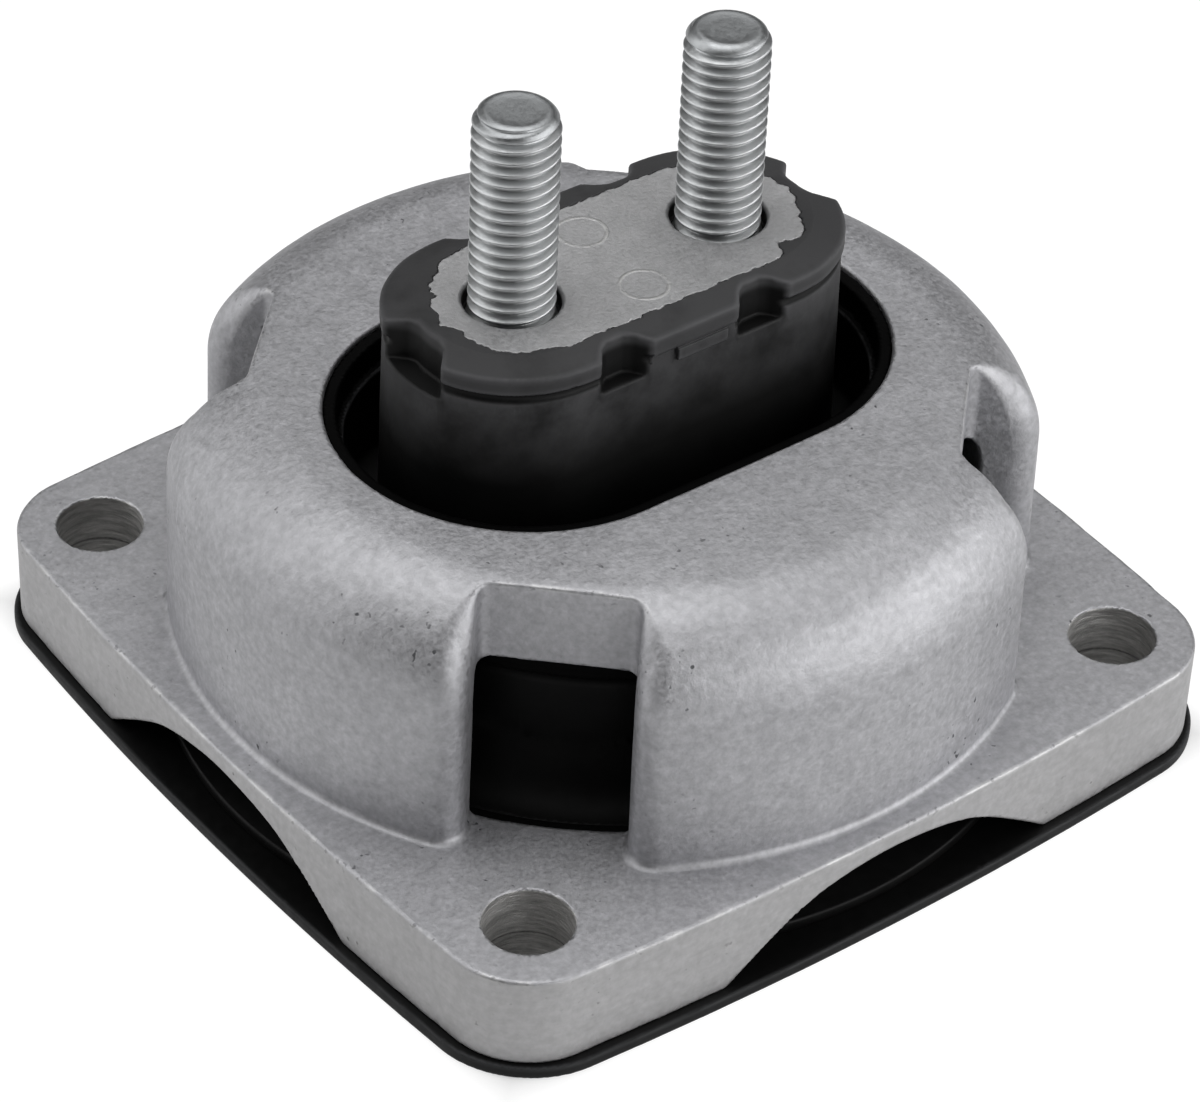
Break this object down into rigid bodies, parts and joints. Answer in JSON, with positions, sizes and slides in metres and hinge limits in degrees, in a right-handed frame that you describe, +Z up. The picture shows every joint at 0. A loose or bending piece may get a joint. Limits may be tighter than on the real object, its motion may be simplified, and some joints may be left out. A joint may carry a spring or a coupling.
{
  "type": "engine mount",
  "caption": "Engine or gearbox mount: cast aluminium housing with square flange and windowed dome on a steel plate, and a rubber-sprung oval core that carries threaded studs",
  "frame": {"origin": "on the standing face, the base plate's underside, under the middle of the dome", "axes": "+Z up along the studs, +X along the line of the studs and the long way of the oval core, +Y across it; both are square to the flange's sides"},
  "size_m": [0.112, 0.112, 0.0854],
  "materials": {
    "cast_housing": "blasted die casting, satin",
    "black_plate": "black coated pressed steel, semi-matt",
    "black_ring": "black coated steel, semi-matt",
    "cast_core": "as cast, dull",
    "zinc_stud": "bright zinc plated",
    "spring_rubber": "moulded, satin",
    "buffer_rubber": "moulded, matt"
  },
  "bodies": {
    "root": {"housing": "cast_housing", "base_plate": "black_plate", "outer_ring": "black_ring", "core": "cast_core", "studs": "zinc_stud", "rubber_spring": "spring_rubber", "stop_buffer": "buffer_rubber"}
  },
  "joints": []
}
